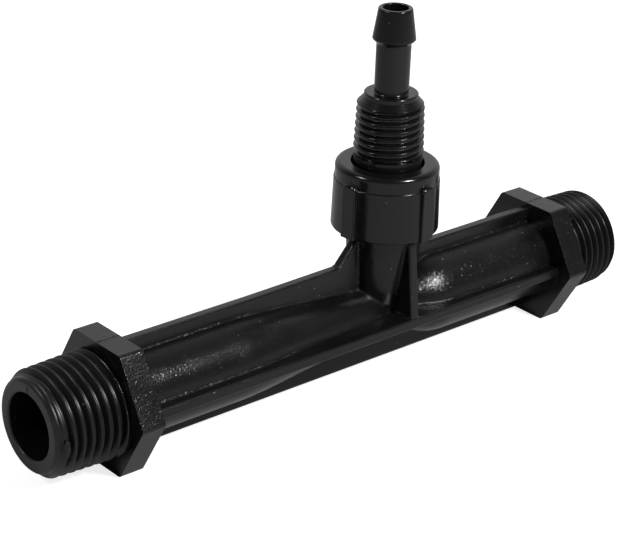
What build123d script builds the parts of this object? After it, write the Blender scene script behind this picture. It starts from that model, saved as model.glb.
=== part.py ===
from build123d import *
import math
import os

# Venturi injector, all sizes in millimetres. The water line runs along X with its outlet
# at -X, the suction branch points up (+Z), and the part stands on the bottom flats of its
# two hexes. Heights are measured from the middle of the water line and lifted on export.

# main line
line_length = 140.0
tube_radius = 8.3
throat_radius = 5.2
long_taper_start_x = -23.5
throat_start_x = 9.3
throat_end_x = 14.5
short_taper_end_x = 21.3
long_taper_blend = 100.0
throat_blend = 40.0
neck_blend = 5.0
short_taper_blend = 14.0

# spanner hexes
hex_sides = 6
hex_across_flats = 23.9
hex_thickness = 4.9
hex_corner_round = 0.9
outlet_hex_x = -55.6
inlet_hex_x = 51.6

# fins
fin_thickness = 2.0
top_fin_height = 11.0
side_fin_height = 10.5
bottom_fin_height = 10.9
fin_edge_round = 0.3
fin_ramp_rise = 0.33
fin_ramp_reach = 54.0

# pipe ends, at the crest size of their thread; the outlet has a lip, the inlet's thread runs out
pipe_crest_radius = 9.85
thread_taper = 1 / 32
outlet_lip_height = 0.95
outlet_thread_lead = 0.9
outlet_lip_round = 0.8
inlet_lip_height = 0.15
inlet_thread_lead = 0.45
inlet_lip_round = 0.1
lip_radius = 8.9

# flow passages
mouth_radius = 6.15
mouth_chamfer = 0.25
diffuser_end_x = -26.0
diffuser_radius = 2.3
mixing_radius = 3.0
mixing_length = 2.4
nozzle_radius = 1.9
nozzle_throat_length = 1.5
nozzle_start_x = 26.0
drill_radius = 1.5

# suction branch
branch_x = 11.85
branch_foot_half_length = 6.7
branch_foot_half_width = 4.85
branch_collar_radius = 7.6
branch_collar_z = 17.0
web_top_drop = 0.4
web_top_half_length = 7.3
along_web_reach = 12.0
across_web_half_width = 8.3
across_web_shoulder_z = 15.3
branch_top_z = 25.0
chamber_floor_z = 8.0
socket_radius = 5.2
socket_depth = 2.7

# union spigot, at the crest size of its thread
union_crest_radius = 8.3
union_thread_depth = 0.75
union_thread_clearance = 0.12
union_neck_height = 1.0

# union nut
nut_height = 13.1
nut_bottom_radius = 10.4
nut_top_radius = 10.0
nut_foot_round = 0.4
nut_round = 1.0
nut_hole_clearance = 0.45
nut_hole_chamfer = 0.25
nut_lip_thickness = 2.2
nut_cap_height = 3.25
nut_cap_step = 0.18
rib_count = 4
rib_angle = 5.9
rib_width = 3.1
rib_rise = 0.44
rib_root = 1.65
rib_top_drop = 2.0
rib_corner_round = 1.5
rib_edge_chamfer = 0.45

# seal and hose fitting
seal_thickness = 1.2
seal_side_clearance = 0.2
flange_thickness = 2.0
flange_clearance = 0.32
spigot_clearance = 0.05
spigot_end_gap = 0.3
neck_radius = 6.55
neck_height = 1.8
fitting_crest_radius = 6.42
fitting_root_radius = 5.62
fitting_thread_length = 11.1
fitting_lead = 0.8
collar_radius = 5.15
collar_height = 0.95
collar_round = 0.3
hose_tube_radius = 3.29
hose_tube_length = 9.6
barb_undercut = 0.8
barb_radius = 4.1
barb_length = 5.95
tip_radius = 3.2
tip_round = 0.3
hose_bore_radius = 2.4
bore_step_length = 1.5

# check valve
ball_radius = 3.2
ball_side_gap = 1.4
seat_bore_radius = 1.9
seat_depth = 0.9
seat_half_angle = 45.0
spring_wire_radius = 0.3
spring_wire_sides = 6
spring_radius = 2.2
spring_turns = 3.0
rest_gap = 0.01

# derived
axis_z = hex_across_flats / 2
half_length = line_length / 2
outlet_hex_end_x = outlet_hex_x + hex_thickness
inlet_hex_end_x = inlet_hex_x + hex_thickness
branch_root_radius = union_crest_radius - union_thread_depth
chamber_radius = ball_radius + ball_side_gap
socket_floor_z = branch_top_z - socket_depth
seal_top_z = branch_top_z + seal_thickness
flange_top_z = seal_top_z + flange_thickness
nut_wall_radius = union_crest_radius + union_thread_clearance
nut_hole_radius = neck_radius + nut_hole_clearance
nut_top_z = flange_top_z + nut_lip_thickness
nut_bottom_z = nut_top_z - nut_height
fitting_thread_z = nut_top_z + neck_height
collar_z = fitting_thread_z + fitting_thread_length
hose_tube_z = collar_z + collar_height
barb_z = hose_tube_z + hose_tube_length + barb_undercut
tip_z = barb_z + barb_length
spigot_bottom_z = socket_floor_z + spigot_end_gap
seat_top_z = spigot_bottom_z + seat_depth
seat_contact_radius = ball_radius * math.sin(math.radians(seat_half_angle))
ball_z = seat_top_z - (seat_contact_radius - seat_bore_radius) - seat_contact_radius - rest_gap

# values that the shapes share
fuse = 0.3
past = 0.1
flats_in_round = 2
quarter_turn = 90

ALONG_X = Rot(0, quarter_turn, 0)
BRANCH = Pos(branch_x, 0, 0)


def flats_round(before, corner, after, radius):
    """Points that cut a corner with short flats along a small round of that radius."""
    into = (Vector(*corner) - Vector(*before)).normalized()
    out = (Vector(*after) - Vector(*corner)).normalized()
    turn = math.radians(into.get_angle(out))
    start = Vector(*corner) - into * (radius * math.tan(turn / 2))
    inward = (out - into * into.dot(out)).normalized()
    points = []
    for step in range(flats_in_round + 1):
        angle = turn * step / flats_in_round
        spot = start + into * (radius * math.sin(angle)) + inward * (radius * (1 - math.cos(angle)))
        points.append((spot.X, spot.Y))
    return points


def turned(points, rounds=None, blends=None):
    """Solid of revolution about Z from (radius, height) points.

    rounds maps a point's index to a small round, cut as short flats; blends maps it to a true arc.
    """
    rounds = rounds or {}
    outline = []
    for index, point in enumerate(points):
        if index in rounds:
            after = points[(index + 1) % len(points)]
            outline += flats_round(points[index - 1], point, after, rounds[index])
        else:
            outline.append(point)
    face = make_face(Plane.XZ * Polyline(*outline, close=True))
    for index, radius in (blends or {}).items():
        spot = Vector(points[index][0], 0, points[index][1])
        corner = min(face.vertices(), key=lambda v: (Vector(v) - spot).length)
        face = fillet(corner, radius)
    return revolve(face, Axis.Z)


def pipe_end(hex_face, lip_height, thread_lead, lip_round):
    """One pipe end at the crest size of its thread: lip at z = 0, hex face at that height."""
    run = hex_face + fuse
    lead = lip_height + thread_lead
    outline = [
        (0, 0),
        (lip_radius, 0),
        (lip_radius, lip_height),
        (pipe_crest_radius + lead * thread_taper, lead),
        (pipe_crest_radius + run * thread_taper, run),
        (0, run),
    ]
    return turned(outline, {1: lip_round})


def pipe_ends():
    """Outlet end on the left, inlet end on the right."""
    outlet_face = outlet_hex_x + half_length
    inlet_face = half_length - inlet_hex_end_x
    outlet = pipe_end(outlet_face, outlet_lip_height, outlet_thread_lead, outlet_lip_round)
    inlet = pipe_end(inlet_face, inlet_lip_height, inlet_thread_lead, inlet_lip_round)
    outlet = Pos(-half_length, 0, 0) * ALONG_X * outlet
    inlet = Pos(half_length, 0, 0) * Rot(0, 0, 2 * quarter_turn) * ALONG_X * inlet
    return outlet, inlet


def hexagon(x):
    """Spanner hex with flats up and down and rounded corners, its left face at x."""
    outline = RegularPolygon(hex_across_flats / 2, hex_sides, major_radius=False)
    outline = fillet(outline.vertices(), hex_corner_round)
    return Pos(x, 0, 0) * extrude(Plane.YZ * outline, hex_thickness)


def tube():
    """Outside of the line between the hexes: long taper to the throat, short flare from it."""
    start = outlet_hex_end_x - fuse
    end = inlet_hex_x + fuse
    points = [
        (0, start),
        (tube_radius, start),
        (tube_radius, long_taper_start_x),
        (throat_radius, throat_start_x),
        (throat_radius, throat_end_x),
        (tube_radius, short_taper_end_x),
        (tube_radius, end),
        (0, end),
    ]
    blends = {2: long_taper_blend, 3: throat_blend, 4: neck_blend, 5: short_taper_blend}
    return ALONG_X * turned(points, blends=blends)


def fins():
    """Four long fins between the hexes."""
    reach = inlet_hex_x - outlet_hex_end_x + 2 * fuse
    middle = Pos((inlet_hex_x + outlet_hex_end_x) / 2, 0, 0)
    whole = None
    for turn, height in enumerate((top_fin_height, side_fin_height, bottom_fin_height, side_fin_height)):
        bar = Pos(0, 0, height / 2) * Box(reach, fin_thickness, height)
        bar = fillet(bar.edges().filter_by(Axis.X).group_by(Axis.Z)[-1], fin_edge_round)
        bar = middle * Rot(turn * quarter_turn, 0, 0) * bar
        whole = bar if whole is None else whole + bar
    return whole


def web(points, plane):
    """Flat web of fin thickness with its slanted sides rounded."""
    plate = extrude(plane * make_face(Polyline(*points, close=True)), fin_thickness / 2, both=True)
    slanted = plate.edges()
    for axis in (Axis.X, Axis.Y, Axis.Z):
        slanted = slanted - plate.edges().filter_by(axis)
    return fillet(slanted, fin_edge_round)


def webs():
    """Webs that stiffen the branch, along the top fin, which ramps up to it, and across the line."""
    top = branch_collar_z - web_top_drop
    low = top_fin_height - fin_edge_round
    foot = along_web_reach
    crown = web_top_half_length
    ramp = fin_ramp_reach
    along = [
        (-ramp, 0),
        (-ramp, low),
        (-foot, top_fin_height + fin_ramp_rise),
        (-crown, top),
        (crown, top),
        (foot, low),
        (foot, 0),
    ]
    wide = across_web_half_width
    base = side_fin_height - fin_edge_round
    neck = branch_collar_radius - 2 * past
    shoulder = across_web_shoulder_z
    across = [(-base, 0), (-wide, shoulder), (-neck, top), (neck, top), (wide, shoulder), (base, 0)]
    return BRANCH * (web(along, Plane.XZ) + web(across, Plane.YZ))


def branch():
    """Drafted branch from the throat to the collar, then the spigot that the union nut screws on."""
    foot = Ellipse(branch_foot_half_length, branch_foot_half_width)
    collar = Pos(0, 0, branch_collar_z) * Circle(branch_collar_radius)
    stem = loft([foot, collar], ruled=True)
    crest = union_crest_radius
    root = branch_root_radius
    ease = union_crest_radius - root
    low = branch_collar_z + union_neck_height
    spigot = turned(
        [
            (0, branch_collar_z),
            (root, branch_collar_z),
            (root, low),
            (crest, low + ease),
            (crest, branch_top_z - ease),
            (root, branch_top_z),
            (0, branch_top_z),
        ]
    )
    return BRANCH * (stem + spigot)


def line_bore():
    """Inlet nozzle from the right, mixing gap under the branch, diffuser to the left."""
    mouth = mouth_radius
    open_mouth = mouth_radius + mouth_chamfer + past
    mixing_start = branch_x - mixing_length / 2
    mixing_end = branch_x + mixing_length / 2
    points = [
        (0, -half_length - past),
        (open_mouth, -half_length - past),
        (mouth, -half_length + mouth_chamfer),
        (mouth, diffuser_end_x),
        (diffuser_radius, mixing_start),
        (mixing_radius, mixing_start),
        (mixing_radius, mixing_end),
        (nozzle_radius, mixing_end),
        (nozzle_radius, mixing_end + nozzle_throat_length),
        (mouth, nozzle_start_x),
        (mouth, half_length - mouth_chamfer),
        (open_mouth, half_length + past),
        (0, half_length + past),
    ]
    return ALONG_X * turned(points)


def branch_bore():
    """Drilling from the throat, valve chamber and socket for the fitting."""
    top = branch_top_z + past
    points = [
        (0, 0),
        (drill_radius, 0),
        (drill_radius, chamber_floor_z),
        (chamber_radius, chamber_floor_z),
        (chamber_radius, socket_floor_z),
        (socket_radius, socket_floor_z),
        (socket_radius, top),
        (0, top),
    ]
    return BRANCH * turned(points)


def injector_body():
    """One moulding: line, fins, hexes, pipe threads and suction branch."""
    outlet, inlet = pipe_ends()
    body = tube() + fins() + webs() + branch() + hexagon(outlet_hex_x) + hexagon(inlet_hex_x)
    return body + outlet + inlet - line_bore() - branch_bore()


def nut_ribs():
    """Four grip ribs with rounded tops."""
    height = nut_height - rib_top_drop
    outline = Pos(0, height / 2) * Rectangle(rib_width, height)
    outline = fillet(outline.vertices().group_by(Axis.Y)[-1], rib_corner_round)
    bar = extrude(Plane.YZ * outline, rib_root + rib_rise)
    bar = chamfer(bar.edges().group_by(Axis.X)[-1], rib_edge_chamfer)
    bar = Pos(nut_bottom_radius - rib_root, 0, nut_bottom_z) * bar
    whole = None
    for turn in range(rib_count):
        one = Rot(0, 0, rib_angle + turn * quarter_turn) * bar
        whole = one if whole is None else whole + one
    return whole


def union_nut():
    """Ribbed union nut holding the fitting's flange down on the branch."""
    cap_z = nut_top_z - nut_cap_height
    shell = turned(
        [
            (0, nut_bottom_z),
            (nut_bottom_radius, nut_bottom_z),
            (nut_top_radius + nut_cap_step, cap_z),
            (nut_top_radius, cap_z + nut_cap_step),
            (nut_top_radius, nut_top_z),
            (0, nut_top_z),
        ],
        {1: nut_foot_round, 4: nut_round},
    )
    hollow = turned(
        [
            (0, nut_bottom_z - past),
            (nut_wall_radius, nut_bottom_z - past),
            (nut_wall_radius, flange_top_z),
            (nut_hole_radius, flange_top_z),
            (nut_hole_radius, nut_top_z - nut_hole_chamfer),
            (nut_hole_radius + nut_hole_chamfer + past, nut_top_z + past),
            (0, nut_top_z + past),
        ]
    )
    return BRANCH * (shell + nut_ribs() - hollow)


def hose_fitting():
    """Flanged tail with a tapered pipe thread, a step collar and a single-barb hose tail."""
    low_crest = fitting_crest_radius + fitting_thread_length * thread_taper
    spigot_radius = socket_radius - spigot_clearance
    flange_radius = nut_wall_radius - flange_clearance
    flange_face_z = flange_top_z - rest_gap
    outer = turned(
        [
            (0, spigot_bottom_z),
            (spigot_radius, spigot_bottom_z),
            (spigot_radius, seal_top_z),
            (flange_radius, seal_top_z),
            (flange_radius, flange_face_z),
            (neck_radius, flange_face_z),
            (neck_radius, fitting_thread_z),
            (low_crest, fitting_thread_z + fitting_lead / 2),
            (fitting_crest_radius, collar_z - fitting_lead),
            (fitting_root_radius, collar_z),
            (collar_radius, collar_z),
            (collar_radius, hose_tube_z),
            (hose_tube_radius, hose_tube_z),
            (hose_tube_radius, barb_z - barb_undercut),
            (barb_radius, barb_z),
            (tip_radius, tip_z),
            (0, tip_z),
        ],
        {11: collar_round, 15: tip_round},
    )
    bore = turned(
        [
            (0, spigot_bottom_z - past),
            (seat_bore_radius + seat_depth + past, spigot_bottom_z - past),
            (seat_bore_radius, seat_top_z),
            (seat_bore_radius, seat_top_z + bore_step_length),
            (hose_bore_radius, seat_top_z + 2 * bore_step_length),
            (hose_bore_radius, tip_z + past),
            (0, tip_z + past),
        ]
    )
    return BRANCH * (outer - bore)


def seal_ring():
    """Flat gasket between the branch and the flange."""
    inner = socket_radius + seal_side_clearance
    outer = branch_root_radius
    ring = turned([(inner, branch_top_z), (outer, branch_top_z), (outer, seal_top_z), (inner, seal_top_z)])
    return BRANCH * ring


def valve_ball():
    """Ball held up against the seat in the fitting's spigot."""
    return BRANCH * Pos(0, 0, ball_z) * Sphere(ball_radius)


def valve_spring():
    """Compression spring from the chamber floor to the underside of the ball."""
    reach = ball_radius + spring_wire_radius + rest_gap
    top = ball_z - math.sqrt(reach**2 - spring_radius**2)
    bottom = chamber_floor_z + spring_wire_radius
    path = Helix((top - bottom) / spring_turns, top - bottom, spring_radius)
    wire = Plane(origin=path @ 0, z_dir=path % 0) * RegularPolygon(spring_wire_radius, spring_wire_sides)
    return BRANCH * Pos(0, 0, bottom) * sweep(wire, path=path, is_frenet=True)


def main():
    os.makedirs("parts", exist_ok=True)
    lift = Pos(0, 0, axis_z)
    builders = (injector_body, union_nut, hose_fitting, seal_ring, valve_ball, valve_spring)
    for build in builders:
        export_step(lift * build(), f"parts/{build.__name__}.step")


main()
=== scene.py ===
import math

import bmesh
import bpy
import numpy as np
from mathutils import Matrix, Vector

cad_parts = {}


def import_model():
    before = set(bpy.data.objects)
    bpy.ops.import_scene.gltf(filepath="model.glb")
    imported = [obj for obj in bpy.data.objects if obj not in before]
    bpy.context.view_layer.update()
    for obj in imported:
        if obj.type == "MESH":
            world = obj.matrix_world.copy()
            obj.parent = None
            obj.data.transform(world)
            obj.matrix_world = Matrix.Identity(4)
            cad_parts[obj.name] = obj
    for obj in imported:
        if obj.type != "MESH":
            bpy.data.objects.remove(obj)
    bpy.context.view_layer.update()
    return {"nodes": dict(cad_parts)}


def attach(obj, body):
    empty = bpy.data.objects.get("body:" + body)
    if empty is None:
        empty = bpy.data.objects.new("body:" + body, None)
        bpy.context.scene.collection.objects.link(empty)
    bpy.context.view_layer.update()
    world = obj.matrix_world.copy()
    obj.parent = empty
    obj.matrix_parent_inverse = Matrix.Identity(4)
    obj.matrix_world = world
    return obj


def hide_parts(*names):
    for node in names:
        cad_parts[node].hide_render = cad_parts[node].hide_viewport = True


# Venturi injector dressed in Blender. Lengths of the object are in millimetres and are scaled
# by MM where a mesh is made. Heights are measured from the middle of the water line.

MM = 0.001
AXIS_HEIGHT = 11.95
HALF_LENGTH = 70.0
BRANCH_X = 11.85
TURN = 2 * math.pi

# form of all threads: slope of a flank, and round of a crest as a share of the pitch
THREAD_FLANK = math.radians(27.5)
CREST_SHARE = 0.11

# threaded ends of the water line: the crest is the one at the lip, and the taper is of the radius
PIPE_PITCH = 1.814
PIPE_DEPTH = 1.162
PIPE_CREST = 9.81
PIPE_TAPER = 1 / 32
LIP_RADIUS = 8.87
# distance of the hex, lip height, thread lead, lip round and place of a crest of each end
OUTLET_END = (14.4, 0.6, 0.5, 0.85, 1.2)
INLET_END = (13.5, 0.15, 0.45, 0.13, 1.6)
MOUTH_RADIUS = 6.17
MOUTH_ROUND = 0.4
MOUTH_DEPTH = 30.0

# sleeves that cut the threads: outer radius, distance of rows, number of columns, how far they
# stand out past the lip and stay off the hex, and how far the lead would rise over the crest
SLEEVE_RADIUS = 12.6
SLEEVE_STEP = 0.08
SLEEVE_COLUMNS = 144
SLEEVE_OVERHANG = 0.5
HEX_GAP = 0.01
LEAD_RISE = 0.06

# edges over these angles are crisp; on the threads of the body only within the lip's zone
BODY_CREASE = 32
RING_CREASE = 40
LIP_ZONE = 1.2

# small marks of the mould: slot in the outlet's rim, patch of the sprue, parting line on the hexes
NICK_PLACE = (-HALF_LENGTH, 0, AXIS_HEIGHT + 6.9)
NICK_SIZE = (0.8, 0.25, 1.8)
GATE_PLACE = (-68.5, -9.6, AXIS_HEIGHT - 0.5)
GATE_SIZE = (0.65, 0.36, 1.7)
GATE_UNEVENNESS = 0.12
PARTING_RUNS = ((-55.6, -50.7), (51.6, 56.5))
PARTING_HEIGHT = 2 * AXIS_HEIGHT - 0.03

# bead along the inner corners. Corners of the flow passages and the valve chamber, corners that
# lie under the nut, and those beyond the fins get none.
BEAD_RADIUS = 0.15
BEAD_SPREAD = (0.1, 1.4)
BEAD_STEP = 0.3
CORNER_TURN = math.radians(20)
CORNERS_WITHIN = 50.5
CORNERS_BELOW = 16.5
PASSAGE_REACH = 5
CHAMBER_REACH = 5.5
CHAMBER_FLOOR = 6

# union nut
NUT_TOP = 30.4
NUT_HEIGHT = 13.1
NUT_FOOT_RADIUS = 10.4
NUT_SHOULDER_RADIUS = 10.18
NUT_TOP_RADIUS = 10.0
NUT_WALL_RADIUS = 8.42
NUT_HOLE_RADIUS = 7.0
NUT_LIP = 2.2
NUT_CAP_HEIGHT = 3.25
RIB_TURN = 5.9
RIB_HALF_WIDTH = 1.55
RIB_FACE_RADIUS = 10.84
RIB_HEIGHT = 11.1
RIB_CORNER = 1.5
RIB_EDGE = 0.25
RIB_TOP_EDGE = 1.0
NUT_COLUMNS = 120
NUT_ROW_STEP = 0.3
# rows are this close together, round a place so far below the top of the ribs, and so far from it
RIB_ROW_STEP = 0.08
RIB_ROUND_DROP = 0.8
RIB_ROUND_REACH = 1.0

# hose fitting
FITTING_PITCH = 1.411
FITTING_DEPTH = 0.8
FITTING_CREST = 6.42
FITTING_START = 0.6
FITTING_LEAD = 1.25
FITTING_LOW = 22.6
FLANGE_LOW = 26.2
FLANGE_TOP = 28.19
THREAD_LOW = 32.2
THREAD_TOP = 43.3
TUBE_LOW = 44.25
TUBE_TOP = 53.85
BARB_LOW = 54.65
BARB_RADIUS = 4.1
TIP = 60.6
TAIL_BORE = 2.4
SPIGOT_RADIUS = 5.15
FLANGE_RADIUS = 8.1
NECK_RADIUS = 6.55
TUBE_RADIUS = 3.29
TIP_RADIUS = 3.2
COLLAR_RADIUS = 5.15
TAIL_COLUMNS = 128
TAIL_ROW_STEP = 0.5
THREAD_ROW_STEP = 0.07
# the thread's grooves lie outside of this radius, and fade out over this height at the lead
THREAD_INSIDE = 5.5
GROOVE_FADE = 0.5

# skin of the body: distance of the threads from the middle in metres, their share of the grain,
# how much rougher they are, and how much stronger the grain is on the inlet's side of the branch
THREADS_BEYOND = 0.0567
SMOOTH_GRAIN = 0.12
THREAD_ROUGHNESS = 1.6
INLET_GRAIN = 1.5
# a face that looks less than the first away from the line's axis has the side grain only, and one
# that looks more than the second away from it has all of the grain
SIDE_FACING = 0.55
OUTWARD_FACING = 0.8

# colours, skins and specks of the materials
PLASTIC_BLACK = (0.004, 0.004, 0.0042, 1)
BODY_SKIN = {
    "Colour": PLASTIC_BLACK,
    "Roughness": 0.22,
    "Grain Scale": 4000.0,
    "Dust": 0.5,
    "Side Grain": SMOOTH_GRAIN,
    "Smooth Beyond": THREADS_BEYOND,
}
NUT_SKIN = {"Colour": PLASTIC_BLACK, "Roughness": 0.17, "Grain Scale": 2600.0, "Dust": 0.2}
TAIL_SKIN = {"Colour": PLASTIC_BLACK, "Roughness": 0.2, "Grain Scale": 2600.0, "Dust": 0.2}
RUBBER_BLACK = (0.02, 0.02, 0.02, 1)
RUBBER_SKIN = {"Colour": RUBBER_BLACK, "Roughness": 0.7, "Grain Scale": 1500.0, "Dust": 0.2}
BALL_STEEL = (0.62, 0.62, 0.63, 1)
SPRING_STEEL = (0.55, 0.55, 0.56, 1)
DUST_COLOUR = (0.4, 0.39, 0.38, 1)
DUST_SCALE = 800.0
SPECK_EDGE = (0.14, 0.06)
SPECK_CHANCE = (0.9, 1.0)
BLOTCH_SCALE = 160.0
BLOTCH_RANGE = (0.3, 0.7)
BLOTCH_SPREAD = (0.85, 1.15)
PLASTIC_IOR = 1.41
EDGE_SAMPLES = 6

# depth of the grain and round of the edges of each, in millimetres
BODY_RELIEF = (0.042, 0.1)
NUT_RELIEF = (0.01, 0.12)
TAIL_RELIEF = (0.006, 0.05)
RUBBER_RELIEF = (0.02, 0.1)

# round of the fins and webs in millimetres, and how far from the middle it reaches in metres
FIN_EDGE = 0.6
FINS_WITHIN = 0.0505

# lamps and surround: bearing round Z and rise in degrees, sizes in metres
LEFT_BEARING = (-199.0, 42.0)
RIGHT_BEARING = (-76.0, 43.0)
LAMP_DISTANCE = 0.8
LAMP_SIZE = 0.14
LEFT_POWER = 2.0
RIGHT_POWER = 7.2
SURROUND_FRONT = 0.08
SURROUND_HORIZON = 0.3
SURROUND_BEHIND = 0.75
HORIZON_TOP = 0.55
FLOOR_REACH = 3.0
FLOOR_GREY = 0.48
FLOOR_GLOW = 0.8

# camera and photograph
PHOTO_WIDTH = 640
FOCAL_PIXELS = 2076.42
SENSOR_WIDTH = 36.0
CAMERA_PLACE = (-0.241568, -0.265703, 0.186849)
CAMERA_RIGHT = (0.75635634, -0.65313063, 0.03668056)
CAMERA_UP = (0.24750993, 0.33763125, 0.90815416)
CAMERA_FORWARD = (0.6055278, 0.67780935, -0.41702585)


def corner_arc(before, corner, after, radius, steps):
    """Points of a round that joins two straight runs of a section."""
    before, corner, after = (Vector(point) for point in (before, corner, after))
    into = (corner - before).normalized()
    out = (after - corner).normalized()
    turn = into.angle(out)
    start = corner - into * radius * math.tan(turn / 2)
    inward = (out - into * into.dot(out)).normalized()
    points = []
    for step in range(steps + 1):
        angle = turn * step / steps
        along = into * radius * math.sin(angle)
        aside = inward * radius * (1 - math.cos(angle))
        points.append(tuple(start + along + aside))
    return points


def section(corners, steps=6):
    """Closed (radius, height) section from (radius, height, round) corners."""
    outline = []
    for index, (radius, height, fillet) in enumerate(corners):
        before = corners[index - 1][:2]
        after = corners[(index + 1) % len(corners)][:2]
        if fillet:
            outline += corner_arc(before, (radius, height), after, fillet, steps)
        else:
            outline.append((radius, height))
    return outline


def split_runs(outline, longest, where=lambda point: True):
    """Adds points so that no run of a section is longer than that, for runs that start there."""
    points = []
    for index, point in enumerate(outline):
        after = outline[(index + 1) % len(outline)]
        pieces = max(1, math.ceil(math.dist(point, after) / longest)) if where(point) else 1
        for step in range(pieces):
            part = step / pieces
            radius = point[0] + (after[0] - point[0]) * part
            height = point[1] + (after[1] - point[1]) * part
            points.append((radius, height))
    return points


def even_angles(count):
    return np.arange(count) * TURN / count


def quarter_round(radius):
    """Depths below the face at even turns of a round of that radius."""
    return [radius * (1 - math.cos(step * math.pi / 16)) for step in range(9)]


def ring_mesh(name, radii, heights, angles):
    """Closed ring: one row of radii for each height of its section, one column for each angle."""
    rows, columns = radii.shape
    height_grid = np.repeat(np.asarray(heights)[:, None], columns, 1)
    spots = np.stack([radii * np.cos(angles), radii * np.sin(angles), height_grid], -1).reshape(-1, 3)
    row, column = np.meshgrid(np.arange(rows), np.arange(columns), indexing="ij")
    next_row, next_column = (row + 1) % rows, (column + 1) % columns
    loops = [row * columns + column, row * columns + next_column]
    loops += [next_row * columns + next_column, next_row * columns + column]
    faces = np.stack(loops, -1).reshape(-1, 4)
    mesh = bpy.data.meshes.new(name)
    mesh.from_pydata((spots * MM).tolist(), [], faces.tolist())
    work = bmesh.new()
    work.from_mesh(mesh)
    bmesh.ops.recalc_face_normals(work, faces=work.faces)
    work.to_mesh(mesh)
    work.free()
    piece = bpy.data.objects.new(name, mesh)
    bpy.context.collection.objects.link(piece)
    return piece


def plain_rows(outline, columns):
    """Radii and heights of a section that is the same all round."""
    radii = np.repeat(np.array([point[0] for point in outline])[:, None], columns, 1)
    return radii, [point[1] for point in outline]


def place(piece, matrix):
    piece.data.transform(matrix)
    if matrix.determinant() < 0:
        piece.data.flip_normals()
    return piece


def on_branch():
    return Matrix.Translation(Vector((BRANCH_X, 0, AXIS_HEIGHT)) * MM)


def on_line():
    """Turns a ring's own axis onto +X and its angle zero onto +Y."""
    turn = Matrix(((0, 0, 1, 0), (1, 0, 0, 0), (0, 1, 0, 0), (0, 0, 0, 1)))
    return Matrix.Translation(Vector((0, 0, AXIS_HEIGHT)) * MM) @ turn


def soften(piece, angle, smooth_beyond=1.0):
    """Smooth shading, with the edges over that angle kept crisp up to that distance along X.

    The edges of the lips, past the threads, are kept crisp too.
    """
    work = bmesh.new()
    work.from_mesh(piece.data)
    limit = math.radians(angle)
    for face in work.faces:
        face.smooth = True
    for edge in work.edges:
        reach = min(abs(vert.co.x) for vert in edge.verts)
        threaded = smooth_beyond < reach < (HALF_LENGTH - LIP_ZONE) * MM
        edge.smooth = edge.calc_face_angle(0) < limit or threaded
    work.to_mesh(piece.data)
    work.free()
    weight = piece.modifiers.new("flat_faces", "WEIGHTED_NORMAL")
    weight.keep_sharp = True


def cut(piece, cutter):
    """Takes a closed cutter out of a piece."""
    tool = piece.modifiers.new("cut", "BOOLEAN")
    tool.operation = "DIFFERENCE"
    tool.solver = "MANIFOLD"
    tool.object = cutter
    bpy.context.view_layer.update()
    evaluated = piece.evaluated_get(bpy.context.evaluated_depsgraph_get())
    mesh = bpy.data.meshes.new_from_object(evaluated)
    piece.modifiers.remove(tool)
    piece.data = mesh
    bpy.data.objects.remove(cutter)


def thread_drop(along, angle, pitch, depth, start):
    """How far the thread lies below its crest: a pipe thread of 55 degrees with rounded crests."""
    phase = ((along - start) / pitch - angle / TURN) % 1.0
    away = pitch * np.minimum(phase, 1 - phase)
    crest = CREST_SHARE * pitch
    on_crest = crest - np.sqrt(crest**2 - np.minimum(away, crest * math.cos(THREAD_FLANK)) ** 2)
    on_flank = (away - crest * math.cos(THREAD_FLANK)) / math.tan(THREAD_FLANK)
    return np.minimum(on_crest + np.maximum(on_flank, 0), depth)


def end_cutter(side, hex_face, lip_height, lead_height, lip_round, start):
    """Sleeve round one end of the line whose inside is the pipe thread and the round of the lip."""
    angles = even_angles(SLEEVE_COLUMNS)
    thread_rows = list(np.arange(lip_round + SLEEVE_STEP, hex_face - 2 * HEX_GAP, SLEEVE_STEP))
    rows = [-SLEEVE_OVERHANG] + quarter_round(lip_round) + thread_rows + [hex_face - HEX_GAP]
    heights = np.array(rows)
    inside_lip = lip_round - np.clip(heights, 0, lip_round)
    lip = LIP_RADIUS - lip_round + np.sqrt(lip_round**2 - inside_lip**2)
    crest = PIPE_CREST + PIPE_TAPER * heights
    lead_rise = PIPE_CREST - LIP_RADIUS + LEAD_RISE
    lead = LIP_RADIUS + (heights - lip_height) / lead_height * lead_rise
    envelope = np.where(heights < lip_height, lip, np.minimum(crest, lead))
    along = side * (HALF_LENGTH - heights)
    drop = thread_drop(along[:, None], angles[None, :], PIPE_PITCH, PIPE_DEPTH, start)
    inner = np.minimum(envelope[:, None], crest[:, None] - drop)
    outer = np.full((2, len(angles)), SLEEVE_RADIUS)
    radii = np.concatenate([inner, outer])
    along = np.concatenate([along, [along[-1], along[0]]])
    return place(ring_mesh("end_cutter", radii, along, angles), on_line())


def mouth_cutter(side):
    """Ring that opens the mouth of one end with a true round."""
    angles = even_angles(SLEEVE_COLUMNS)
    low = MOUTH_RADIUS - 2
    outline = [(low, -SLEEVE_OVERHANG), (MOUTH_RADIUS + MOUTH_ROUND, -SLEEVE_OVERHANG)]
    for depth in quarter_round(MOUTH_ROUND):
        reach = math.sqrt(MOUTH_ROUND**2 - (MOUTH_ROUND - depth) ** 2)
        outline.append((MOUTH_RADIUS + MOUTH_ROUND - reach, depth))
    outline += [(MOUTH_RADIUS, MOUTH_DEPTH), (low, MOUTH_DEPTH)]
    radii, heights = plain_rows(outline, len(angles))
    along = side * (HALF_LENGTH - np.array(heights))
    return place(ring_mesh("mouth_cutter", radii, along, angles), on_line())


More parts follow.
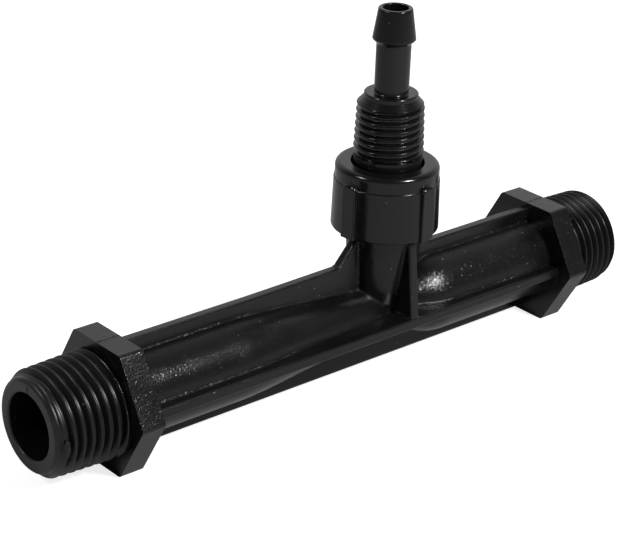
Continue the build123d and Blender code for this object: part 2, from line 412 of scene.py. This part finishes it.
def inner_corners(work):
    """Ends of the edges where the fins, the webs and the branch meet the line."""
    corners = []
    for edge in work.edges:
        flat = len(edge.link_faces) != 2 or edge.calc_face_angle(0) < CORNER_TURN
        if flat or edge.is_convex:
            continue
        middle = (edge.verts[0].co + edge.verts[1].co) / 2 / MM
        up = middle.z - AXIS_HEIGHT
        from_branch = math.hypot(middle.x - BRANCH_X, middle.y)
        in_chamber = from_branch < CHAMBER_REACH and up > CHAMBER_FLOOR
        in_passage = math.hypot(middle.y, up) <= PASSAGE_REACH
        outside = not in_chamber and not in_passage and up < CORNERS_BELOW
        if outside and abs(middle.x) < CORNERS_WITHIN:
            corners.append([tuple(vert.co) for vert in edge.verts])
    return corners


def spot_matrix(middle, size):
    """Puts a unit shape at that place, in that size, both in millimetres."""
    return Matrix.Translation(Vector(middle) * MM) @ Matrix.Diagonal((*(Vector(size) * MM), 1))


def nick_cutter():
    """Small slot in the rim of the outlet's mouth, on the parting line."""
    work = bmesh.new()
    bmesh.ops.create_cube(work, size=1.0)
    mesh = bpy.data.meshes.new("nick_cutter")
    work.to_mesh(mesh)
    work.free()
    piece = bpy.data.objects.new("nick_cutter", mesh)
    bpy.context.collection.objects.link(piece)
    return place(piece, spot_matrix(NICK_PLACE, NICK_SIZE))


def add_gate_mark(piece):
    """Adds the rough patch where the sprue was cut off the outlet's first thread."""
    chance = np.random.default_rng(3)
    work = bmesh.new()
    work.from_mesh(piece.data)
    spot = spot_matrix(GATE_PLACE, GATE_SIZE)
    made = bmesh.ops.create_icosphere(work, subdivisions=3, radius=1.0, matrix=spot)
    for vert in made["verts"]:
        vert.co += Vector(chance.uniform(-GATE_UNEVENNESS, GATE_UNEVENNESS, 3)) * MM
    work.to_mesh(piece.data)
    work.free()


def parting_lines():
    """Ends of the mould's parting line on the top flats of the hexes."""
    return [[(x * MM, 0, PARTING_HEIGHT * MM) for x in run] for run in PARTING_RUNS]


def add_beads(piece, corners):
    """Lays a fine uneven bead of plastic along those corners."""
    chance = np.random.default_rng(7)
    curve = bpy.data.curves.new("beads", "CURVE")
    curve.dimensions = "3D"
    curve.bevel_depth = BEAD_RADIUS * MM
    curve.bevel_resolution = 0
    for start, end in corners:
        pieces = max(1, round(math.dist(start, end) / MM / BEAD_STEP))
        run = curve.splines.new("POLY")
        run.points.add(pieces)
        for step, point in enumerate(run.points):
            spot = Vector(start).lerp(Vector(end), step / pieces)
            point.co = (*spot, 1)
            point.radius = chance.uniform(*BEAD_SPREAD)
    beads = bpy.data.objects.new("beads", curve)
    bpy.context.collection.objects.link(beads)
    bpy.context.view_layer.update()
    evaluated = beads.evaluated_get(bpy.context.evaluated_depsgraph_get())
    mesh = bpy.data.meshes.new_from_object(evaluated)
    bpy.data.objects.remove(beads)
    work = bmesh.new()
    work.from_mesh(piece.data)
    work.from_mesh(mesh)
    work.to_mesh(piece.data)
    work.free()


def injector_body(nodes):
    """The solid body with its pipe threads, lips and mouths cut true."""
    piece = nodes["injector_body"].copy()
    piece.data = piece.data.copy()
    piece.name = "moulded_body"
    piece.parent = None
    bpy.context.collection.objects.link(piece)
    work = bmesh.new()
    work.from_mesh(piece.data)
    bmesh.ops.remove_doubles(work, verts=work.verts, dist=1e-7)
    corners = inner_corners(work)
    work.to_mesh(piece.data)
    work.free()
    for side, end in ((-1, OUTLET_END), (1, INLET_END)):
        cut(piece, end_cutter(side, *end))
        cut(piece, mouth_cutter(side))
    cut(piece, nick_cutter())
    add_beads(piece, corners + parting_lines())
    soften(piece, BODY_CREASE, THREADS_BEYOND)
    add_gate_mark(piece)
    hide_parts("injector_body")
    return piece


def rib_radius(angle, height):
    """Outer radius of the grip ribs, or zero between them."""
    face = np.zeros(np.broadcast(angle, height).shape)
    for quarter in range(4):
        middle = math.radians(RIB_TURN + 90 * quarter)
        turn = (angle - middle + math.pi) % TURN - math.pi
        across = np.abs(NUT_FOOT_RADIUS * np.sin(turn))
        side = RIB_HALF_WIDTH - across
        top = RIB_HEIGHT - height
        rise = np.clip(RIB_CORNER - top, 0, None)
        away = np.hypot(np.clip(RIB_CORNER - side, 0, None), rise)
        corner = RIB_CORNER - away
        inside = np.where((side < RIB_CORNER) & (top < RIB_CORNER), corner, np.minimum(side, top))
        inside = np.where(np.cos(turn) > 0, np.minimum(inside, height + 0.05), -1)
        edge = RIB_EDGE + (RIB_TOP_EDGE - RIB_EDGE) * (rise / np.maximum(away, 0.01)) ** 2
        slope = edge - np.clip(inside, 0, edge)
        drop = edge - np.sqrt(edge**2 - slope**2)
        rib = (RIB_FACE_RADIUS - drop) / np.maximum(np.cos(turn), 0.5)
        face = np.where(inside > 0, np.maximum(face, rib), face)
    return face


def nut_angles():
    """Columns of the nut, close together at the sides of the ribs."""
    angles = set(np.round(even_angles(NUT_COLUMNS), 5))
    for quarter in range(4):
        middle = math.radians(RIB_TURN + 90 * quarter)
        for across in np.concatenate([np.arange(1.0, 1.8, 0.05), np.arange(0.1, 1.0, 0.3)]):
            angles.add(round((middle + across / NUT_FOOT_RADIUS) % TURN, 5))
            angles.add(round((middle - across / NUT_FOOT_RADIUS) % TURN, 5))
    angles = np.array(sorted(angles))
    return angles[np.diff(np.append(angles, angles[0] + TURN)) > 0.002]


def union_nut():
    """Ribbed union nut with its stepped cap, rounded top and open hole."""
    low = NUT_TOP - NUT_HEIGHT
    step = NUT_TOP - NUT_CAP_HEIGHT
    corners = [
        (NUT_WALL_RADIUS, NUT_TOP - NUT_LIP, 0),
        (NUT_WALL_RADIUS, low, 0.2),
        (NUT_FOOT_RADIUS, low, 0.4),
        (NUT_SHOULDER_RADIUS, step, 0.07),
        (NUT_TOP_RADIUS, step + 0.14, 0.07),
        (NUT_TOP_RADIUS - 0.02, NUT_TOP, 1.0),
        (NUT_HOLE_RADIUS, NUT_TOP, 0.25),
        (NUT_HOLE_RADIUS, NUT_TOP - NUT_LIP, 0),
    ]
    outline = split_runs(section(corners), NUT_ROW_STEP)
    rounded = low + RIB_HEIGHT - RIB_ROUND_DROP
    outline = split_runs(
        outline, RIB_ROW_STEP, lambda point: abs(point[1] - rounded) < RIB_ROUND_REACH
    )
    angles = nut_angles()
    radii, heights = plain_rows(outline, len(angles))
    height_grid = np.array(heights)[:, None] - low
    ribs = rib_radius(angles[None, :], height_grid)
    outside = radii > (NUT_TOP_RADIUS + NUT_WALL_RADIUS) / 2
    radii = np.where(outside & (ribs > radii), ribs, radii)
    piece = place(ring_mesh("ribbed_nut", radii, heights, angles), on_branch())
    soften(piece, RING_CREASE)
    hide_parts("union_nut")
    return piece


def on_thread(point):
    """Whether a point of the tail's section lies on its thread or lead."""
    return point[0] > COLLAR_RADIUS + 0.05 and THREAD_LOW <= point[1] < THREAD_TOP


def hose_fitting():
    """Flanged tail with its tapered thread, step collar, hose tube and barb."""
    crest_low = FITTING_CREST + (THREAD_TOP - THREAD_LOW) * PIPE_TAPER
    corners = [
        (TAIL_BORE, FITTING_LOW, 0),
        (SPIGOT_RADIUS, FITTING_LOW, 0.2),
        (SPIGOT_RADIUS, FLANGE_LOW, 0),
        (FLANGE_RADIUS, FLANGE_LOW, 0.15),
        (FLANGE_RADIUS, FLANGE_TOP, 0.15),
        (NECK_RADIUS, FLANGE_TOP, 0),
        (NECK_RADIUS, THREAD_LOW, 0),
        (crest_low, THREAD_LOW + 0.4, 0),
        (FITTING_CREST, THREAD_TOP - FITTING_LEAD, 0.12),
        (COLLAR_RADIUS + 0.1, THREAD_TOP, 0),
        (COLLAR_RADIUS, THREAD_TOP, 0),
        (COLLAR_RADIUS, TUBE_LOW, 0.3),
        (TUBE_RADIUS, TUBE_LOW, 0.25),
        (TUBE_RADIUS, TUBE_TOP, 0.5),
        (BARB_RADIUS, BARB_LOW, 0.12),
        (TIP_RADIUS, TIP, 0.3),
        (TAIL_BORE, TIP, 0.2),
    ]
    outline = split_runs(section(corners), TAIL_ROW_STEP)
    fine = split_runs(outline, THREAD_ROW_STEP, on_thread)
    angles = even_angles(TAIL_COLUMNS)
    radii, heights = plain_rows(fine, len(angles))
    height = np.array(heights)[:, None]
    crest = FITTING_CREST + (THREAD_TOP - height) * PIPE_TAPER
    below_lead = THREAD_TOP - FITTING_LEAD + 0.2 - height
    depth = FITTING_DEPTH * np.clip(below_lead / GROOVE_FADE, 0, 1)
    drop = thread_drop(height, angles[None, :], FITTING_PITCH, depth, FITTING_START)
    threaded = (radii > THREAD_INSIDE) & (height > THREAD_LOW + 0.1) & (height < THREAD_TOP)
    radii = np.where(threaded, np.minimum(radii, crest - drop), radii)
    piece = place(ring_mesh("threaded_tail", radii, heights, angles), on_branch())
    soften(piece, RING_CREASE)
    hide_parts("hose_fitting")
    return piece


def socket(group, way, kind, name, value=None):
    made = group.interface.new_socket(name=name, in_out=way, socket_type=kind)
    if value is not None:
        made.default_value = value
    return made


def add_node(tree, kind, inputs, **settings):
    """New node with its settings. Each input is a value, or a socket that is linked to it."""
    made = tree.nodes.new(kind)
    for name, value in settings.items():
        setattr(made, name, value)
    for key, value in inputs.items():
        if isinstance(value, bpy.types.NodeSocket):
            tree.links.new(value, made.inputs[key])
        else:
            made.inputs[key].default_value = value
    return made


def calculate(tree, operation, *values):
    """Result of one sum, of values or sockets."""
    made = add_node(tree, "ShaderNodeMath", dict(enumerate(values)), operation=operation)
    return made.outputs["Value"]


def with_vectors(tree, operation, *values):
    """Result of one sum with vectors."""
    made = add_node(tree, "ShaderNodeVectorMath", dict(enumerate(values)), operation=operation)
    return made.outputs["Value" if operation == "DOT_PRODUCT" else "Vector"]


def remap(tree, value, start, end, low, high, **settings):
    """Value that runs from low to high while the one it is given runs from start to end."""
    inputs = {"Value": value, "From Min": start, "From Max": end, "To Min": low, "To Max": high}
    return add_node(tree, "ShaderNodeMapRange", inputs, **settings).outputs["Result"]


def distance_along(tree):
    """The object's X, and how far that is from the middle of the line."""
    where = tree.nodes.new("ShaderNodeTexCoord").outputs["Object"]
    along = add_node(tree, "ShaderNodeSeparateXYZ", {"Vector": where}).outputs["X"]
    return along, calculate(tree, "ABSOLUTE", along)


def dust_share(tree, where, amount):
    """Few small round specks: the amount where a speck is, and zero elsewhere."""
    inputs = {"Vector": where, "Scale": DUST_SCALE}
    specks = add_node(tree, "ShaderNodeTexVoronoi", inputs)
    near = remap(tree, specks.outputs["Distance"], *SPECK_EDGE, 0.0, 1.0)
    pick = add_node(tree, "ShaderNodeSeparateColor", {"Color": specks.outputs["Color"]})
    few = remap(tree, pick.outputs["Red"], *SPECK_CHANCE, 0.0, 1.0)
    return calculate(tree, "MULTIPLY", calculate(tree, "MULTIPLY", near, few), amount)


def outward_share(tree, where, low):
    """One on faces that look away from the line's axis, and low on those that don't."""
    from_axis = with_vectors(tree, "SUBTRACT", where, (0, 0, AXIS_HEIGHT * MM))
    across = with_vectors(tree, "MULTIPLY", from_axis, (0, 1, 1))
    outward = with_vectors(tree, "NORMALIZE", across)
    faces = tree.nodes.new("ShaderNodeNewGeometry").outputs["True Normal"]
    facing = with_vectors(tree, "DOT_PRODUCT", outward, faces)
    return remap(tree, facing, SIDE_FACING, OUTWARD_FACING, low, 1.0)


def moulded_skin():
    """Group: the fine etched skin of a moulding, with its colour, roughness and height."""
    group = bpy.data.node_groups.new("moulded_skin", "ShaderNodeTree")
    socket(group, "INPUT", "NodeSocketColor", "Colour", (0.01, 0.01, 0.01, 1))
    socket(group, "INPUT", "NodeSocketFloat", "Roughness", 0.35)
    socket(group, "INPUT", "NodeSocketFloat", "Grain Scale", 2600.0)
    socket(group, "INPUT", "NodeSocketFloat", "Dust", 0.3)
    socket(group, "INPUT", "NodeSocketFloat", "Side Grain", 1.0)
    socket(group, "INPUT", "NodeSocketFloat", "Smooth Beyond", 1.0)
    socket(group, "OUTPUT", "NodeSocketColor", "Colour")
    socket(group, "OUTPUT", "NodeSocketFloat", "Roughness")
    socket(group, "OUTPUT", "NodeSocketFloat", "Height")
    given = group.nodes.new("NodeGroupInput").outputs
    result = group.nodes.new("NodeGroupOutput").inputs
    where = group.nodes.new("ShaderNodeTexCoord").outputs["Object"]
    along, reach = distance_along(group)
    off_thread = calculate(group, "LESS_THAN", reach, given["Smooth Beyond"])

    inputs = {
        "Factor": dust_share(group, where, given["Dust"]),
        "A": given["Colour"],
        "B": DUST_COLOUR,
    }
    colour = add_node(group, "ShaderNodeMix", inputs, data_type="RGBA").outputs["Result"]
    group.links.new(colour, result["Colour"])

    inputs = {"Vector": where, "Scale": BLOTCH_SCALE, "Detail": 2.0}
    blotch = add_node(group, "ShaderNodeTexNoise", inputs).outputs["Fac"]
    spread = remap(group, blotch, *BLOTCH_RANGE, *BLOTCH_SPREAD)
    rough = calculate(group, "MULTIPLY", spread, given["Roughness"])
    worn = remap(group, off_thread, 0.0, 1.0, THREAD_ROUGHNESS, 1.0)
    group.links.new(calculate(group, "MULTIPLY", rough, worn), result["Roughness"])

    inputs = {"Vector": where, "Scale": given["Grain Scale"], "Detail": 0.0}
    grain = add_node(group, "ShaderNodeTexNoise", inputs).outputs["Fac"]
    outward = outward_share(group, where, given["Side Grain"])
    on_moulding = remap(group, off_thread, 0.0, 1.0, SMOOTH_GRAIN, 1.0)
    share = calculate(group, "MULTIPLY", outward, on_moulding)
    coarse = remap(group, along, BRANCH_X * MM, 2 * BRANCH_X * MM, 1.0, INLET_GRAIN)
    stronger = calculate(group, "MULTIPLY", share, coarse)
    group.links.new(calculate(group, "MULTIPLY", grain, stronger), result["Height"])
    return group


def new_material(name, skin, settings):
    """Material with the skin's group in it: itself, its shader and its group node."""
    material = bpy.data.materials.new(name)
    material.use_nodes = True
    tree = material.node_tree
    look = add_node(tree, "ShaderNodeGroup", {}, node_tree=skin)
    for key, value in settings.items():
        look.inputs[key].default_value = value
    shader = tree.nodes["Principled BSDF"]
    tree.links.new(look.outputs["Colour"], shader.inputs["Base Color"])
    tree.links.new(look.outputs["Roughness"], shader.inputs["Roughness"])
    return material, shader, look


def moulded_plastic(name, skin, settings, depth, edge, fin_edge=None):
    """Black moulded plastic with a skin of that depth and softened edges, in millimetres.

    The edges between the hexes can have a round of their own, for the fins and webs.
    """
    material, shader, look = new_material(name, skin, settings)
    tree = material.node_tree
    shader.inputs["IOR"].default_value = PLASTIC_IOR
    radius = edge * MM
    if fin_edge:
        _, reach = distance_along(tree)
        within = calculate(tree, "LESS_THAN", reach, FINS_WITHIN)
        radius = remap(tree, within, 0.0, 1.0, edge * MM, fin_edge * MM)
    edges = add_node(tree, "ShaderNodeBevel", {"Radius": radius}, samples=EDGE_SAMPLES)
    inputs = {
        "Distance": depth * MM,
        "Strength": 1.0,
        "Height": look.outputs["Height"],
        "Normal": edges.outputs["Normal"],
    }
    bump = add_node(tree, "ShaderNodeBump", inputs)
    tree.links.new(bump.outputs["Normal"], shader.inputs["Normal"])
    return material


def steel(name, skin, colour, roughness):
    """Bright steel of the ball and spring inside the branch."""
    settings = {"Colour": colour, "Roughness": roughness, "Dust": 0.0}
    material, shader, _ = new_material(name, skin, settings)
    shader.inputs["Metallic"].default_value = 1.0
    return material


def paint(piece, material):
    piece.data.materials.clear()
    piece.data.materials.append(material)
    for face in piece.data.polygons:
        face.material_index = 0


def floor_and_lights():
    """Pale floor, two soft boxes and an even surround."""
    mesh = bpy.data.meshes.new("floor")
    signs = ((-1, -1), (1, -1), (1, 1), (-1, 1))
    corners = [(x * FLOOR_REACH, y * FLOOR_REACH, 0) for x, y in signs]
    mesh.from_pydata(corners, [], [(0, 1, 2, 3)])
    floor = bpy.data.objects.new("floor", mesh)
    bpy.context.collection.objects.link(floor)
    paper = bpy.data.materials.new("floor_paper")
    paper.use_nodes = True
    tree = paper.node_tree
    shader = tree.nodes["Principled BSDF"]
    shader.inputs["Base Color"].default_value = (FLOOR_GREY, FLOOR_GREY, FLOOR_GREY, 1)
    shader.inputs["Roughness"].default_value = 0.9
    shader.inputs["Specular IOR Level"].default_value = 0.1
    shader.inputs["Emission Color"].default_value = (1, 1, 1, 1)
    seen = tree.nodes.new("ShaderNodeLightPath").outputs["Is Camera Ray"]
    glow = calculate(tree, "MULTIPLY", seen, FLOOR_GLOW)
    tree.links.new(glow, shader.inputs["Emission Strength"])
    mesh.materials.append(paper)
    bpy.context.scene.world = surround()
    soft_box("soft_box_left", LEFT_BEARING, LEFT_POWER)
    soft_box("soft_box_right", RIGHT_BEARING, RIGHT_POWER)


def surround():
    """Even surround that is dim in front of the part and pale behind it and low down."""
    world = bpy.data.worlds.new("surround")
    world.use_nodes = True
    tree = world.node_tree
    where = tree.nodes.new("ShaderNodeTexCoord").outputs["Generated"]
    away = (CAMERA_FORWARD[0], CAMERA_FORWARD[1], 0)
    behind = with_vectors(tree, "DOT_PRODUCT", where, away)
    levels = (SURROUND_FRONT, SURROUND_BEHIND)
    level = remap(tree, behind, -0.1, 0.9, *levels, interpolation_type="SMOOTHSTEP")
    rise = add_node(tree, "ShaderNodeSeparateXYZ", {"Vector": where}).outputs["Z"]
    low = remap(tree, rise, 0.0, HORIZON_TOP, SURROUND_HORIZON, 0.0)
    background = tree.nodes["Background"]
    background.inputs["Color"].default_value = (1, 1, 1, 1)
    tree.links.new(calculate(tree, "MAXIMUM", level, low), background.inputs["Strength"])
    return world


def soft_box(name, bearing, power):
    """Square lamp at its bearing from the part, facing it."""
    light = bpy.data.lights.new(name, "AREA")
    light.shape = "SQUARE"
    light.size = LAMP_SIZE
    light.energy = power
    lamp = bpy.data.objects.new(name, light)
    bpy.context.collection.objects.link(lamp)
    turn, rise = (math.radians(angle) for angle in bearing)
    level = math.cos(rise)
    toward = Vector((math.cos(turn) * level, math.sin(turn) * level, math.sin(rise)))
    lamp.location = toward * LAMP_DISTANCE
    lamp.rotation_mode = "QUATERNION"
    lamp.rotation_quaternion = toward.to_track_quat("Z", "Y")


def photo_camera():
    """Camera at the photograph's place and angle."""
    lens = bpy.data.cameras.new("camera")
    lens.sensor_fit = "HORIZONTAL"
    lens.sensor_width = SENSOR_WIDTH
    lens.lens = SENSOR_WIDTH * FOCAL_PIXELS / PHOTO_WIDTH
    lens.clip_start = 0.01
    camera = bpy.data.objects.new("camera", lens)
    bpy.context.collection.objects.link(camera)
    back = [-value for value in CAMERA_FORWARD]
    columns = (CAMERA_RIGHT, CAMERA_UP, back, CAMERA_PLACE)
    turn = Matrix([[column[row] for column in columns] for row in range(3)] + [[0, 0, 0, 1]])
    camera.matrix_world = turn
    bpy.context.scene.camera = camera


def main():
    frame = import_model()
    nodes = frame["nodes"]
    bpy.context.scene.view_settings.view_transform = "Standard"
    skin = moulded_skin()
    body_look = moulded_plastic("body_plastic", skin, BODY_SKIN, *BODY_RELIEF, FIN_EDGE)
    nut_look = moulded_plastic("nut_plastic", skin, NUT_SKIN, *NUT_RELIEF)
    tail_look = moulded_plastic("fitting_plastic", skin, TAIL_SKIN, *TAIL_RELIEF)
    rubber = moulded_plastic("seal_rubber", skin, RUBBER_SKIN, *RUBBER_RELIEF)
    dressed = (
        (injector_body(nodes), body_look, "body_plastic"),
        (union_nut(), nut_look, "nut_plastic"),
        (hose_fitting(), tail_look, "fitting_plastic"),
    )
    for piece, look, name in dressed:
        paint(piece, look)
        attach(piece, "body")
    paint(nodes["seal_ring"], rubber)
    paint(nodes["valve_ball"], steel("ball_steel", skin, BALL_STEEL, 0.15))
    paint(nodes["valve_spring"], steel("spring_steel", skin, SPRING_STEEL, 0.3))
    floor_and_lights()
    photo_camera()


main()
